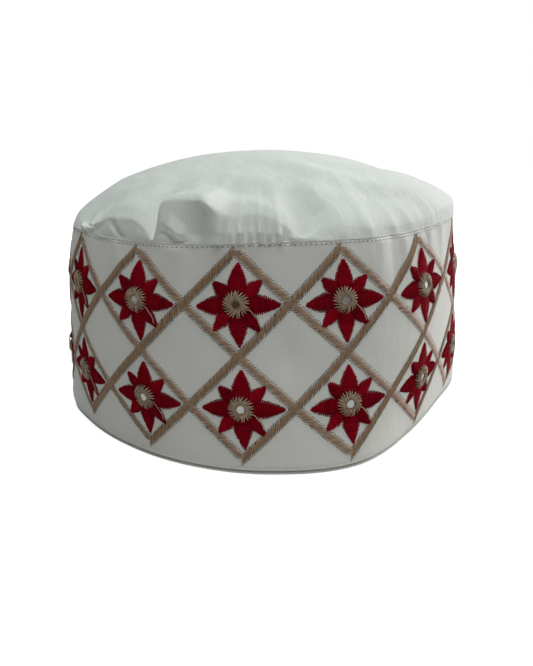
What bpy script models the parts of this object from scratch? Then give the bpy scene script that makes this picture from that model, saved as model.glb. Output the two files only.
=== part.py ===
"""A kufi cap of white cotton: a tall side band, a soft puffed crown, a turned-in hem and 28 small mirrors.

Millimetres are used for every size below and turned into metres where the meshes are made.
The cap stands on its lower edge at z = 0. Azimuth is measured in degrees from the front (-Y)
towards +X, and every section of the cap is read at one azimuth.
"""
from collections import namedtuple

import bmesh
import bpy
import numpy as np
from mathutils import Matrix

MM = 0.001

# Driving sizes in millimetres
BAND_WALL = 1.8
CROWN_WALL = 1.2
SEAM_GAP = 0.3
CAP_TOP = 111.0
CREST_SHARE = 0.30
CREST_BULGE = 1.0
STAND_SHARE = 0.04
FOLD_START = 0.09

# Hem facing: a foot under the band and a leg up its inner side
HEM_FOOT = 1.2
HEM_WALL = 1.2
HEM_GAP = 0.35
HEM_SET_BACK = 0.2
HEM_HEIGHT = 14.0
BAND_FOOT = HEM_FOOT + 0.6

# Embroidery layout: fourteen diamonds round the band, rows half a diamond apart
REPEATS = 14
FIRST_COLUMN = -57.35
ROW_DROP = 1.7
ROW_PITCH = 18.8
STILL_AZIMUTH = 5.0
ROW_TURN = 2.0
ROW_LIFT = 1.5
FLOWER_ROWS = {"upper": 1, "lower": 3}
MIRROR_RADIUS = 3.3
MIRROR_THICKNESS = 0.8
MIRROR_GAP = 0.3
MIRROR_SIDES = 12

# Grids: columns are closer together over the front half, where the folds are
CROWN_RINGS = (0.0, STAND_SHARE, 0.10, 0.17, 0.24, 0.30, 0.355, 0.42, 0.50, 0.59, 0.69, 0.80, 0.90)
CROWN_COLUMNS = (78, 22)
BAND_ROWS = 8
BAND_COLUMNS = (44, 20)
FRONT_HALF_WIDTH = 104.0

# The cap's sections. Radii and heights are in millimetres and softness is a share of the crown's slope.
# The crown's crest stands over the seam by crest_height and inside it by crest_in, and fall is the power
# of the curve from the crest to the top.
Section = namedtuple("Section", "azimuth rim waist seam seam_height crest_height crest_in softness fall")
SECTIONS = (
    (-140, 92.0, 89.0, 84.0, 82.0, 9.0, 4.0, 0.18, 2.2),
    (-110, 94.0, 90.0, 84.5, 82.5, 9.0, 4.5, 0.20, 2.3),
    (-85, 94.5, 91.0, 84.5, 83.5, 8.5, 5.5, 0.20, 2.4),
    (-60, 90.5, 89.5, 84.0, 84.5, 8.0, 5.5, 0.16, 2.4),
    (-40, 89.0, 89.0, 84.0, 83.5, 9.0, 4.5, 0.14, 2.2),
    (-20, 91.0, 88.0, 83.5, 83.0, 9.5, 4.0, 0.14, 2.1),
    (0, 94.5, 88.0, 82.5, 83.0, 10.0, 4.0, 0.14, 2.1),
    (20, 96.5, 90.0, 84.0, 82.5, 10.0, 4.5, 0.18, 2.1),
    (40, 87.5, 90.0, 83.5, 81.5, 10.0, 4.0, 0.18, 2.0),
    (60, 87.0, 89.0, 86.0, 82.5, 10.5, 3.5, 0.16, 1.9),
    (85, 95.5, 92.5, 87.5, 82.0, 11.0, 2.0, 0.14, 1.8),
    (110, 97.0, 93.0, 87.5, 81.0, 11.5, 2.5, 0.16, 1.9),
    (140, 92.0, 90.0, 85.0, 81.5, 11.0, 3.0, 0.18, 2.1),
    (180, 91.0, 88.5, 84.0, 82.0, 10.0, 3.0, 0.18, 2.2),
)

# Folds of the crown. Each runs through its stops, pairs of azimuth and slope share (0 at the seam, 1 at the
# top), and stands out by its lift. Its width is given towards the top and towards the seam, and crisp is 1
# for a sharp crease and 0 for a soft roll.
Fold = namedtuple("Fold", "name lift width_up width_down crisp stops")
FOLDS = (
    ("scallop crest", 4.6, 15.0, 6.5, 0.6, ((-33, 0.34), (-24, 0.385), (-15.5, 0.37))),
    ("scallop edge", 3.6, 13.0, 6.0, 0.7, ((-15.5, 0.37), (-11, 0.29), (-7, 0.20))),
    ("left scallop", 3.4, 10.0, 5.5, 0.5, ((-58, 0.22), (-46, 0.28), (-36, 0.27), (-30, 0.18))),
    ("drape to the seam", -3.2, 5.0, 5.0, 0.2, ((-29, 0.30), (-27, 0.16), (-26.5, 0.06))),
    ("gather crest", 2.6, 10.0, 5.0, 0.4, ((-9, 0.27), (-1, 0.26), (4, 0.15))),
    ("long ridge", 2.8, 11.0, 10.0, 0.3, ((-16, 0.60), (-8, 0.48), (0, 0.36), (5, 0.20), (9, 0.06))),
    ("long hollow", -3.0, 11.0, 11.0, 0.0, ((6, 0.62), (11, 0.42), (14, 0.22), (16, 0.10))),
    ("shoulder ridge", 2.2, 12.0, 12.0, 0.2, ((14, 0.68), (25, 0.53), (45, 0.39), (66, 0.31))),
    ("back slope", -2.4, 14.0, 10.0, 0.0, ((62, 0.62), (72, 0.46), (84, 0.38), (98, 0.34))),
    ("left hollow", -1.6, 9.0, 7.0, 0.2, ((-66, 0.36), (-54, 0.37), (-46, 0.38))),
    ("corner dimple", -1.8, 5.0, 4.0, 0.2, ((51, 0.16), (54, 0.14), (57, 0.15))),
    ("gather at 34", 0.9, 3.2, 3.2, 0.2, ((33, 0.20), (34, 0.12), (34.5, 0.05))),
    ("gather at 44", 0.9, 3.2, 3.2, 0.2, ((42, 0.21), (44, 0.13), (45.0, 0.05))),
)

# Dents and swells of the band's cloth: depth is negative inwards, widths are across and up the band.
Dent = namedtuple("Dent", "name azimuth height depth across up")
DENTS = (
    ("dimple in the plain diamond", 6.0, 43.0, -1.3, 7.0, 12.0),
    ("swell beside it", 12.5, 47.0, 0.6, 8.0, 14.0),
    ("pucker at -36", -36.0, 74.0, 0.7, 5.0, 14.0),
    ("pucker at -29", -29.0, 75.0, -0.6, 4.0, 12.0),
    ("pucker at -2", -2.0, 75.0, -0.7, 4.0, 11.0),
    ("pucker at 4", 4.0, 74.0, 0.7, 4.5, 13.0),
    ("pucker at 29", 29.0, 74.0, 0.8, 4.5, 12.0),
    ("pucker at 35", 35.0, 74.0, -0.7, 4.0, 12.0),
    ("left inner fold", -72.0, 40.0, -0.8, 8.0, 24.0),
)


SECTION = Section(*np.array(SECTIONS, float).T)
ROUNDNESS = 2.0
FOLD_END_LIFT = 0.35
FOLD_END_SHARE = 0.25
SLOPE_STEP = 0.02


def around(column, azimuth):
    """A section value at any azimuth, on a smooth closed curve through the table's rows."""
    stations = SECTION.azimuth
    values = getattr(SECTION, column)
    at = np.concatenate((stations[-2:] - 360.0, stations, stations[:2] + 360.0))
    value = np.concatenate((values[-2:], values, values[:2]))
    slope = np.zeros_like(value)
    slope[1:-1] = (value[2:] - value[:-2]) / (at[2:] - at[:-2])
    turned = (np.asarray(azimuth, float) + 180.0) % 360.0 - 180.0
    left = np.clip(np.searchsorted(at, turned, side="right") - 1, 1, len(at) - 3)
    step = at[left + 1] - at[left]
    share = (turned - at[left]) / step
    rest = 1.0 - share
    curve = value[left] * (1 + 2 * share) * rest ** 2 + value[left + 1] * share ** 2 * (3 - 2 * share)
    return curve + step * (slope[left] * share * rest ** 2 - slope[left + 1] * share ** 2 * rest)


def smooth(share):
    """0 to 1 with level ends."""
    share = np.clip(share, 0.0, 1.0)
    return share * share * (3.0 - 2.0 * share)


def on_cap(azimuth, radius, height):
    """Points in millimetres from azimuth, radius and height."""
    turn = np.radians(azimuth)
    return np.stack((radius * np.sin(turn), -radius * np.cos(turn), height), axis=-1)


def band_radius(azimuth, height):
    """Outer radius of the band, from its rim, waist and seam radii and its dents."""
    azimuth, height = np.broadcast_arrays(np.asarray(azimuth, float), np.asarray(height, float))
    share = height / around("seam_height", azimuth)
    radius = around("rim", azimuth) * (1 - share) * (1 - 2 * share)
    radius = radius + around("waist", azimuth) * 4 * share * (1 - share)
    radius = radius + around("seam", azimuth) * share * (2 * share - 1)
    for dent in map(Dent._make, DENTS):
        sideways = np.radians(azimuth - dent.azimuth) * radius / dent.across
        upwards = (height - dent.height) / dent.up
        radius = radius + dent.depth * np.exp(-ROUNDNESS * (sideways ** 2 + upwards ** 2))
    return radius


def crown_section(azimuth, share):
    """Radius and height of the crown without its folds: up from the seam to the crest, then in to the top."""
    seam = around("seam", azimuth)
    foot = around("seam_height", azimuth) + SEAM_GAP
    rise = around("crest_height", azimuth)
    inset = around("crest_in", azimuth)
    soft = around("softness", azimuth)
    fall = around("fall", azimuth)

    def plain(at):
        low = np.clip(at / CREST_SHARE, 0.0, 1.0)
        left = 1.0 - np.clip((at - CREST_SHARE) / (1.0 - CREST_SHARE), 0.0, 1.0)
        wall = seam - inset * low + CREST_BULGE * 4 * low * (1 - low)
        below = at < CREST_SHARE
        radius = np.where(below, wall, (seam - inset) * left)
        height = np.where(below, foot + rise * low, CAP_TOP - (CAP_TOP - foot - rise) * left ** fall)
        return radius, height

    radius, height = plain(share)
    low_radius, low_height = plain(CREST_SHARE - soft)
    high_radius, high_height = plain(CREST_SHARE + soft)
    turn = np.clip((share - CREST_SHARE + soft) / (2 * soft), 0.0, 1.0)
    near = np.abs(share - CREST_SHARE) < soft
    start, middle, end = (1 - turn) ** 2, 2 * turn * (1 - turn), turn ** 2
    rounded_radius = start * low_radius + middle * (seam - inset) + end * high_radius
    rounded_height = start * low_height + middle * (foot + rise) + end * high_height
    return np.where(near, rounded_radius, radius), np.where(near, rounded_height, height)


def laid_flat(azimuth, share):
    """The crown unrolled on a plane: its top at the middle and its slope laid out along each azimuth."""
    low = np.clip(share / CREST_SHARE, 0.0, 1.0)
    left = 1.0 - np.clip((share - CREST_SHARE) / (1.0 - CREST_SHARE), 0.0, 1.0)
    reach = (around("seam", azimuth) - around("crest_in", azimuth)) * left
    reach = reach + around("crest_height", azimuth) * (1 - low)
    turn = np.radians(azimuth)
    return np.stack((reach * np.sin(turn), -reach * np.cos(turn)), axis=-1)


def fold_lift(azimuth, share):
    """How far the folds stand out of the crown at each point."""
    flat = laid_flat(azimuth, share)
    total = np.zeros(flat.shape[:-1])
    for fold in map(Fold._make, FOLDS):
        stop_azimuth, stop_share = np.array(fold.stops, float).T
        line = laid_flat(stop_azimuth, stop_share)
        nearest = np.full(total.shape, np.inf)
        outward = np.zeros(total.shape)
        along = np.zeros(total.shape)
        for index, (start, end) in enumerate(zip(line[:-1], line[1:])):
            run = end - start
            share_along = np.clip(((flat - start) @ run) / (run @ run), 0.0, 1.0)
            away = flat - (start + share_along[..., None] * run)
            distance = np.hypot(away[..., 0], away[..., 1])
            closer = distance < nearest
            nearest = np.where(closer, distance, nearest)
            outward = np.where(closer, run[1] * away[..., 0] - run[0] * away[..., 1], outward)
            along = np.where(closer, (index + share_along) / (len(line) - 1), along)
        width = np.where(outward > 0, fold.width_down, fold.width_up)
        off = np.clip(nearest / width, 0.0, 1.0)
        roll = (1 - off) ** 2 * (1 + 2 * off)
        crease = (1 - off) ** 2
        taper = FOLD_END_LIFT + (1 - FOLD_END_LIFT) * smooth(np.minimum(along, 1 - along) / FOLD_END_SHARE)
        total = total + fold.lift * taper * (fold.crisp * crease + (1 - fold.crisp) * roll)
    return total * smooth((share - STAND_SHARE) / FOLD_START)


def crown_surface(azimuth, share):
    """Points of the crown's outer surface, folds included."""
    azimuth, share = np.broadcast_arrays(np.asarray(azimuth, float), np.asarray(share, float))
    radius, height = crown_section(azimuth, share)
    high_radius, high_height = crown_section(azimuth, np.minimum(share + SLOPE_STEP, 1.0))
    low_radius, low_height = crown_section(azimuth, np.maximum(share - SLOPE_STEP, 0.0))
    along_radius, along_height = high_radius - low_radius, high_height - low_height
    length = np.maximum(np.hypot(along_radius, along_height), 1e-6)
    lift = fold_lift(azimuth, share)
    return on_cap(azimuth, radius + lift * along_height / length, height - lift * along_radius / length)


def columns_round(front, back):
    """Azimuths of a grid's columns: close over the front, wider apart behind."""
    ahead = np.linspace(-FRONT_HALF_WIDTH, FRONT_HALF_WIDTH, front, endpoint=False)
    behind = np.linspace(FRONT_HALF_WIDTH, 360.0 - FRONT_HALF_WIDTH, back, endpoint=False)
    return np.concatenate((ahead, behind))


def plan_centre():
    """Middle of the cap's outline on the floor, which becomes the origin."""
    azimuth = columns_round(*BAND_COLUMNS)
    outline = on_cap(azimuth, band_radius(azimuth, BAND_FOOT), 0.0 * azimuth)
    return (outline.min(axis=0) + outline.max(axis=0)) / 2.0


CENTRE = plan_centre()


def material(name, colour, roughness, metallic=0.0):
    """A plain Principled material."""
    finish = bpy.data.materials.new(name)
    finish.use_nodes = True
    surface = finish.node_tree.nodes["Principled BSDF"]
    surface.inputs["Base Color"].default_value = (*colour, 1.0)
    surface.inputs["Roughness"].default_value = roughness
    surface.inputs["Metallic"].default_value = metallic
    return finish


def new_object(name, mesh, finish, collection):
    """A named object with its material, in the cap's collection."""
    piece = bpy.data.objects.new(name, mesh)
    piece.data.materials.append(finish)
    collection.objects.link(piece)
    return piece


def ring_mesh(name, rings, top=None):
    """A mesh lofted up through closed rings of points, with a fan to a top point where there is one."""
    loft = bmesh.new()
    levels = [[loft.verts.new((point - CENTRE) * MM) for point in ring] for ring in rings]
    count = len(levels[0])
    for lower, upper in zip(levels[:-1], levels[1:]):
        for index in range(count):
            beside = (index + 1) % count
            loft.faces.new((lower[index], lower[beside], upper[beside], upper[index]))
    if top is not None:
        peak = loft.verts.new((top - CENTRE) * MM)
        for index in range(count):
            loft.faces.new((levels[-1][index], levels[-1][(index + 1) % count], peak))
    mesh = bpy.data.meshes.new(name)
    loft.to_mesh(mesh)
    loft.free()
    mesh.shade_smooth()
    return mesh


def thicken(piece, wall):
    """Give an open surface its cloth thickness, inwards."""
    shell = piece.modifiers.new("cloth thickness", "SOLIDIFY")
    shell.thickness = wall * MM
    shell.offset = -1.0
    shell.use_even_offset = True
    shell.use_rim = True


def make_crown(collection):
    """The soft top, from the seam up over its crest and folds to the middle."""
    azimuth = columns_round(*CROWN_COLUMNS)
    rings = [crown_surface(azimuth, share) for share in CROWN_RINGS]
    top = np.array((0.0, 0.0, CAP_TOP))
    cotton = material("crown cotton", (0.80, 0.82, 0.79), 0.9)
    crown = new_object("crown", ring_mesh("crown", rings, top), cotton, collection)
    thicken(crown, CROWN_WALL)


def make_side_band(collection):
    """The upright wall, from just over the hem's foot to the seam."""
    azimuth = columns_round(*BAND_COLUMNS)
    upper = around("seam_height", azimuth)
    rings = []
    for row in range(BAND_ROWS + 1):
        height = BAND_FOOT + (upper - BAND_FOOT) * row / BAND_ROWS
        rings.append(on_cap(azimuth, band_radius(azimuth, height), height))
    cotton = material("band cotton", (0.80, 0.81, 0.78), 0.9)
    band = new_object("side_band", ring_mesh("side_band", rings), cotton, collection)
    thicken(band, BAND_WALL)


def make_hem_facing(collection):
    """The turned-in lower edge: a foot that shows under the band and a leg up its inner side."""
    azimuth = columns_round(*BAND_COLUMNS)
    outside = band_radius(azimuth, BAND_FOOT) - HEM_SET_BACK
    low_leg = band_radius(azimuth, BAND_FOOT) - BAND_WALL - HEM_GAP
    high_leg = band_radius(azimuth, HEM_HEIGHT) - BAND_WALL - HEM_GAP
    profile = (
        (outside, 0.0),
        (outside, HEM_FOOT),
        (low_leg, HEM_FOOT),
        (high_leg, HEM_HEIGHT),
        (high_leg - HEM_WALL, HEM_HEIGHT),
        (low_leg - HEM_WALL, 0.0),
        (outside, 0.0),
    )
    rings = [on_cap(azimuth, radius, np.full_like(azimuth, height)) for radius, height in profile]
    mesh = ring_mesh("hem_facing", rings)
    join = bmesh.new()
    join.from_mesh(mesh)
    bmesh.ops.remove_doubles(join, verts=join.verts, dist=0.01 * MM)
    join.to_mesh(mesh)
    join.free()
    cotton = material("hem cotton", (0.78, 0.79, 0.76), 0.9)
    new_object("hem_facing", mesh, cotton, collection)


def band_facing(azimuth, height):
    """Point on the band with the directions along, up and out of its surface there."""
    reach = 1.0
    here = on_cap(azimuth, band_radius(azimuth, height), height)
    left = on_cap(azimuth - reach, band_radius(azimuth - reach, height), height)
    right = on_cap(azimuth + reach, band_radius(azimuth + reach, height), height)
    below = on_cap(azimuth, band_radius(azimuth, height - reach), height - reach)
    above = on_cap(azimuth, band_radius(azimuth, height + reach), height + reach)
    along = (right - left) / np.linalg.norm(right - left)
    out = np.cross(along, above - below)
    out = out / np.linalg.norm(out)
    return here, along, np.cross(out, along), out


def drawn_in(azimuth, drop):
    """Azimuth and height of a place of the embroidery: a straight strip draws in where the band widens."""
    down = (drop - ROW_DROP - ROW_PITCH) / (2 * ROW_PITCH)
    aside = np.sin(np.radians(azimuth - STILL_AZIMUTH))
    azimuth = azimuth - ROW_TURN * np.abs(down) * aside
    return azimuth, around("seam_height", azimuth) - drop + ROW_LIFT * np.maximum(down, 0.0) * aside ** 2


def make_mirrors(collection):
    """A small disc on the band at the middle of every flower."""
    glass = material("mirror glass", (0.80, 0.80, 0.78), 0.08, 1.0)
    disc = bpy.data.meshes.new("mirror disc")
    turned = bmesh.new()
    bmesh.ops.create_cone(
        turned, cap_ends=True, segments=MIRROR_SIDES, radius1=MIRROR_RADIUS * MM, radius2=MIRROR_RADIUS * MM,
        depth=MIRROR_THICKNESS * MM)
    turned.to_mesh(disc)
    turned.free()
    disc.materials.append(glass)
    for row_name, row in FLOWER_ROWS.items():
        for number in range(REPEATS):
            azimuth, height = drawn_in(FIRST_COLUMN + number * 360.0 / REPEATS, ROW_DROP + row * ROW_PITCH)
            here, along, up, out = band_facing(azimuth, height)
            mirror = bpy.data.objects.new(f"mirror_{row_name}_{number + 1:02d}", disc)
            mirror.location = (here + out * (MIRROR_GAP + MIRROR_THICKNESS / 2.0) - CENTRE) * MM
            mirror.rotation_euler = Matrix((along, up, out)).transposed().to_euler()
            collection.objects.link(mirror)


def main():
    """Empty the scene and make the cap."""
    for old in list(bpy.data.objects):
        bpy.data.objects.remove(old, do_unlink=True)
    collection = bpy.data.collections.new("kufi cap")
    bpy.context.scene.collection.children.link(collection)
    make_crown(collection)
    make_side_band(collection)
    make_hem_facing(collection)
    make_mirrors(collection)
    bpy.context.view_layer.update()


main()
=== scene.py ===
"""The looks of a white cotton kufi cap: puffed crown, embroidered band, thread rings and small mirrors.

The forms below are worked out in millimetres from the same sizes as the cap's solids and turned
into metres where the meshes are made. Azimuth is in degrees from the front (-Y) towards +X.
"""
import math
from collections import namedtuple
from functools import partial

import bpy
import numpy as np
from mathutils import Matrix, Vector


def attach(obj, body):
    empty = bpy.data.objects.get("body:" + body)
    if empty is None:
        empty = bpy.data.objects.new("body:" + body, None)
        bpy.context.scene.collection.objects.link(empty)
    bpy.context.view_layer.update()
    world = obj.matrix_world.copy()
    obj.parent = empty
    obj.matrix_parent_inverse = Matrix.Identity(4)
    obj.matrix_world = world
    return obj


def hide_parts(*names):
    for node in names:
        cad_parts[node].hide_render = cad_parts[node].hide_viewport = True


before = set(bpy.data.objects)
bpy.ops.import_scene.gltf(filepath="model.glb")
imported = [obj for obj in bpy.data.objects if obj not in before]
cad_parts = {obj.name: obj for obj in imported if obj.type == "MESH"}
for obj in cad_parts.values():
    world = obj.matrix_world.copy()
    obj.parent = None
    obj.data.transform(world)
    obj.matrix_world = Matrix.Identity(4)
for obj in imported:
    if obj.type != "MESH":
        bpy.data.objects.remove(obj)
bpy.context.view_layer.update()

MM = 0.001

# Sizes of the cloth, in millimetres
BAND_WALL = 1.8
CROWN_WALL = 1.2
SEAM_GAP = 0.3
CAP_TOP = 111.6
CREST_SHARE = 0.30
CREST_BULGE = 0.4
FOLD_START = 0.07
CREST_BLEND = 0.05
SHOULDER_BLEND = 0.22
GATHER_START = 0.11
GATHER_FOOT = 0.25
HEM_FOOT = 1.2
HEM_WALL = 1.2
HEM_GAP = 0.35
HEM_SET_BACK = 0.2
HEM_HEIGHT = 14.0
HEM_LIFT = 0.3
BAND_FOOT = HEM_FOOT + 0.6

# Embroidery: fourteen diamonds round the band, rows half a diamond apart
REPEATS = 14
FIRST_COLUMN = -57.35
COLUMN_TURN = 360.0 / REPEATS
COLUMN_WIDTH = 39.6
ROW_DROP = 1.7
ROW_PITCH = 18.8
STILL_AZIMUTH = 5.0
ROW_TURN = 2.0
ROW_LIFT = 1.5
FLOWER_ROWS = {"upper": 1, "lower": 3}

Section = namedtuple("Section", "azimuth rim waist seam seam_height crest_height crest_in fall")
SECTIONS = (
    (-140, 92, 89, 84, 82, 9, 4, 2.2),
    (-110, 94, 90, 84.5, 82.5, 9, 4.5, 2.3),
    (-85, 94.5, 91, 84.5, 83.5, 8.5, 5.5, 2.4),
    (-60, 90.5, 89.5, 84, 84.5, 8, 5.5, 2.4),
    (-40, 89, 89, 84, 83.5, 9, 4.5, 2.2),
    (-20, 91, 88, 83.5, 83, 9.5, 4, 2.1),
    (0, 94.5, 88, 82.5, 83, 10, 4, 2.1),
    (20, 96.5, 90, 84, 82.5, 10, 4.5, 2.1),
    (40, 87.5, 90, 83.5, 81.5, 10, 4, 2),
    (60, 87, 89, 86, 82.5, 10.5, 3.5, 1.9),
    (85, 95.5, 92.5, 87.5, 82, 11, 2, 1.8),
    (110, 97, 93, 87.5, 81, 11.5, 2.5, 1.9),
    (140, 92, 90, 85, 81.5, 11, 3, 2.1),
    (180, 91, 88.5, 84, 82, 10, 3, 2.2),
)

# The crown's edge over the seam: its crest stands above (up) and outside (out) the section's own, the cloth
# further in is raised by shoulder, and softness is how widely the crest turns, as a share of the slope.
# Two scallops hang over the seam in front, with a drape between them.
Crest = namedtuple("Crest", "azimuth up out shoulder softness")
CRESTS = (
    (-140, 0, 0, 0.5, 0.18),
    (-90, 0, -1.2, 1.2, 0.17),
    (-75, 0.2, 0.4, 1.4, 0.15),
    (-66, -2, 1.4, 1.4, 0.12),
    (-60, -3.8, 2.2, 1.5, 0.08),
    (-55, -5.2, 2.4, 1.7, 0.06),
    (-51, -5.4, 2.4, 1.9, 0.06),
    (-47.5, -4.6, 2.6, 2.1, 0.05),
    (-44.5, -2.6, 2.8, 2.3, 0.05),
    (-41.5, -1, 2.8, 2.4, 0.05),
    (-34, -0.6, 2.8, 2.6, 0.05),
    (-30.4, -2.2, 3, 2.8, 0.05),
    (-27.8, -5.8, 3.4, 2.9, 0.05),
    (-26.4, -8, 3.6, 3, 0.05),
    (-25.2, -2.6, 3.4, 3.1, 0.04),
    (-24, 4.4, 2.8, 3.2, 0.03),
    (-22.8, 5.9, 1.4, 3.3, 0.03),
    (-18.6, 6, 0.8, 3.4, 0.03),
    (-15.6, 6, 2.4, 3.4, 0.03),
    (-13.2, 6, 5.2, 3.4, 0.03),
    (-11.6, 5, 6.4, 3.3, 0.03),
    (-9.8, 2.8, 5.2, 3.1, 0.04),
    (-8, 1, 2.6, 2.9, 0.05),
    (-6.5, 0.2, 0.8, 2.7, 0.06),
    (-3.6, 0.2, 0.6, 2.4, 0.055),
    (-0.7, 0.4, 0.8, 2.1, 0.05),
    (2.4, -0.8, 1.2, 1.8, 0.05),
    (6.2, -3.6, 1.6, 1.5, 0.06),
    (9.8, -7.6, 2.6, 1.2, 0.06),
    (11.6, -7, 2, 1, 0.07),
    (13.6, -5.4, 1.4, 0.9, 0.09),
    (16, -3.8, 0.8, 0.9, 0.11),
    (20, -2.2, 0.2, 0.9, 0.14),
    (27, -0.6, -0.2, 1, 0.19),
    (40, 0.4, -0.2, 1, 0.22),
    (60, -0.6, 1, 0.3, 0.18),
    (75, -1.8, 0.9, -0.8, 0.14),
    (90, -2.6, 0.9, -1.7, 0.14),
    (115, -2.4, 0.4, -2.4, 0.16),
    (150, -0.6, 0, -1, 0.18),
)

Fold = namedtuple("Fold", "name lift width_up width_down crisp stops")
FOLDS = (
    ("long ridge", 0.5, 9, 7, 0.3, ((-8, 0.48), (0, 0.38), (5, 0.26), (9, 0.12))),
    ("soft hollow", -2, 8, 10, 0, ((10, 0.44), (13, 0.34), (16, 0.22))),
    ("shoulder ridge", 1.3, 12, 12, 0.2, ((14, 0.68), (25, 0.53), (45, 0.39), (66, 0.31))),
    ("back slope", -1.2, 18, 12, 0, ((52, 0.74), (72, 0.60), (92, 0.50), (112, 0.44), (140, 0.42))),
    ("left hollow", -1.3, 5, 5, 0.1, ((-52, 0.34), (-46, 0.37), (-39, 0.42))),
    ("puff over the left scallop", 0.9, 4, 5, 0.1, ((-46, 0.30), (-38, 0.335), (-30, 0.31))),
    ("corner dimple", -0.5, 5, 5, 0.1, ((48, 0.17), (51, 0.15), (54, 0.16))),
    ("lift by the drape", 1.3, 3.4, 2.6, 0.5, ((-22.5, 0.12), (-20, 0.07), (-17, 0.02))),
    ("crease by the drape", -0.9, 1.8, 1.8, 0.4, ((-25, 0.10), (-22.5, 0.06), (-20, 0.02))),
    ("crease of the left scallop", -1, 2.2, 2.6, 0.3, ((-40.5, 0.22), (-38, 0.11), (-35, -0.04))),
    ("dark facet", -1.9, 5, 7, 0.6, ((-11.9, 0.30), (-13.4, 0.15), (-15.4, -0.08))),
    ("crumple at the corner", 1.3, 3.2, 2.4, 0.3, ((-54, 0.28), (-49.5, 0.22), (-45, 0.25))),
    ("crumple under it", 1, 2.4, 2, 0.3, ((-54, 0.15), (-50.5, 0.13), (-47.5, 0.16))),
    ("dimple in the corner", -1.3, 3, 3, 0, ((-57, 0.27), (-55, 0.24))),
    ("puff under the dimple", 1, 2.6, 2.6, 0.2, ((-58, 0.16), (-55, 0.09), (-51, 0.05))),
    ("funnel over the drape", -1, 11, 9, 0, ((-29, 0.47), (-27.5, 0.40), (-26.4, 0.34))),
    ("level cloth inside the crest", -2.4, 12, 8, 0, ((-12, 0.42), (-4, 0.395), (6, 0.375))),
    ("soft fold at the left", 0.8, 6, 5, 0.2, ((-60, 0.44), (-50, 0.46), (-40, 0.52))),
)

Dent = namedtuple("Dent", "name azimuth height depth across up")
DENTS = (
    ("dimple in the plain diamond", 6, 43, -1.3, 7, 12),
    ("swell beside it", 12.5, 47, 0.6, 8, 14),
    ("pucker at -36", -36, 74, 0.7, 5, 14),
    ("pucker at -29", -29, 75, -0.6, 4, 12),
    ("pucker at -2", -2, 75, -0.7, 4, 11),
    ("pucker at 4", 4, 74, 0.7, 4.5, 13),
    ("pucker at 29", 29, 74, 0.8, 4.5, 12),
    ("pucker at 35", 35, 74, -0.7, 4, 12),
    ("left inner fold", -72, 40, -0.8, 8, 24),
    ("left upper corner", -86, 84, -1.9, 24, 8),
    ("right upper corner", 88, 84, 2.6, 26, 12),
    ("left lower corner", -72, 6, 1.8, 20, 11),
    ("right lower corner", 70, 4, -1.2, 22, 9),
    ("right front rim", 38, 0, 1.6, 30, 12),
)

# Gathers along the seam, each a small rib: its crown, lift in millimetres, its width to the left and to
# the right in degrees, and its reach, as a share of the crown's slope or millimetres down the band.
Rib = namedtuple("Rib", "azimuth lift left right reach")
CROWN_RIBS = (
    (-48, 0.5, 3, 2.2, 0.12),
    (-30.5, 0.5, 2, 1.4, 0.12),
    (-8.9, 2.8, 3.2, 1.4, 0.16),
    (-6.6, 2, 0.8, 0.7, 0.13),
    (-4.3, 3.6, 1.3, 1.1, 0.17),
    (-1.8, 2.6, 0.9, 0.8, 0.14),
    (0.3, 3.6, 1, 1, 0.17),
    (2.5, 2.6, 0.9, 0.9, 0.15),
    (4.8, 3.2, 1.2, 1.1, 0.16),
    (8, 1.8, 1.3, 1.2, 0.11),
    (13, 0.5, 2.2, 2, 0.10),
    (21, 0.5, 3.4, 2.4, 0.13),
    (28, 0.7, 3.4, 2.2, 0.17),
    (36.5, 0.8, 4, 2.4, 0.19),
    (43, 0.6, 3.6, 2.4, 0.20),
    (52.5, 0.7, 4.4, 2.8, 0.17),
)
BAND_RIBS = (
    (-88, 0.5, 5, 2.5, 10),
    (-76, 0.5, 5, 2.5, 10),
    (-49, 0.5, 4.5, 2, 12),
    (-38.5, 0.6, 4, 2.2, 10),
    (-20, 1.2, 6, 4, 14),
    (-9.5, 0.3, 2, 1.5, 8),
    (-0.6, 0.6, 2.2, 1.8, 10),
    (6.8, 0.5, 2.6, 2.4, 9),
    (14, 0.3, 2.6, 2.6, 7),
    (21.5, 0.3, 2.6, 2.6, 7),
    (31.2, 1, 2.6, 6, 13),
    (39.6, 0.8, 2.2, 4.5, 12),
    (46, 0.5, 2, 3, 9),
    (50.8, 0.7, 2, 4, 10),
    (57.5, 0.6, 2, 4.4, 9),
    (66, 0.5, 2.4, 5, 9),
)

# Where no rib is named, along the sides and the back, the gathers follow each other at about this pitch
HIDDEN_START = 84.0
HIDDEN_END = 268.0
HIDDEN_PITCH = 6.4
HIDDEN_LIFT = 0.45

# Fine grids: columns in front and behind, and how much closer the rows lie towards the seam
GRID_COLUMNS = (560, 150)
CROWN_ROWS = 104
CROWN_ROW_POWER = 1.5
CROWN_INNER_ROWS = 12
BAND_ROWS = 58
BAND_ROW_POWER = 1.35
BAND_INNER_ROWS = 6
FRONT_HALF_WIDTH = 104.0
HEM_FOLD_STEPS = 9

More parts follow.
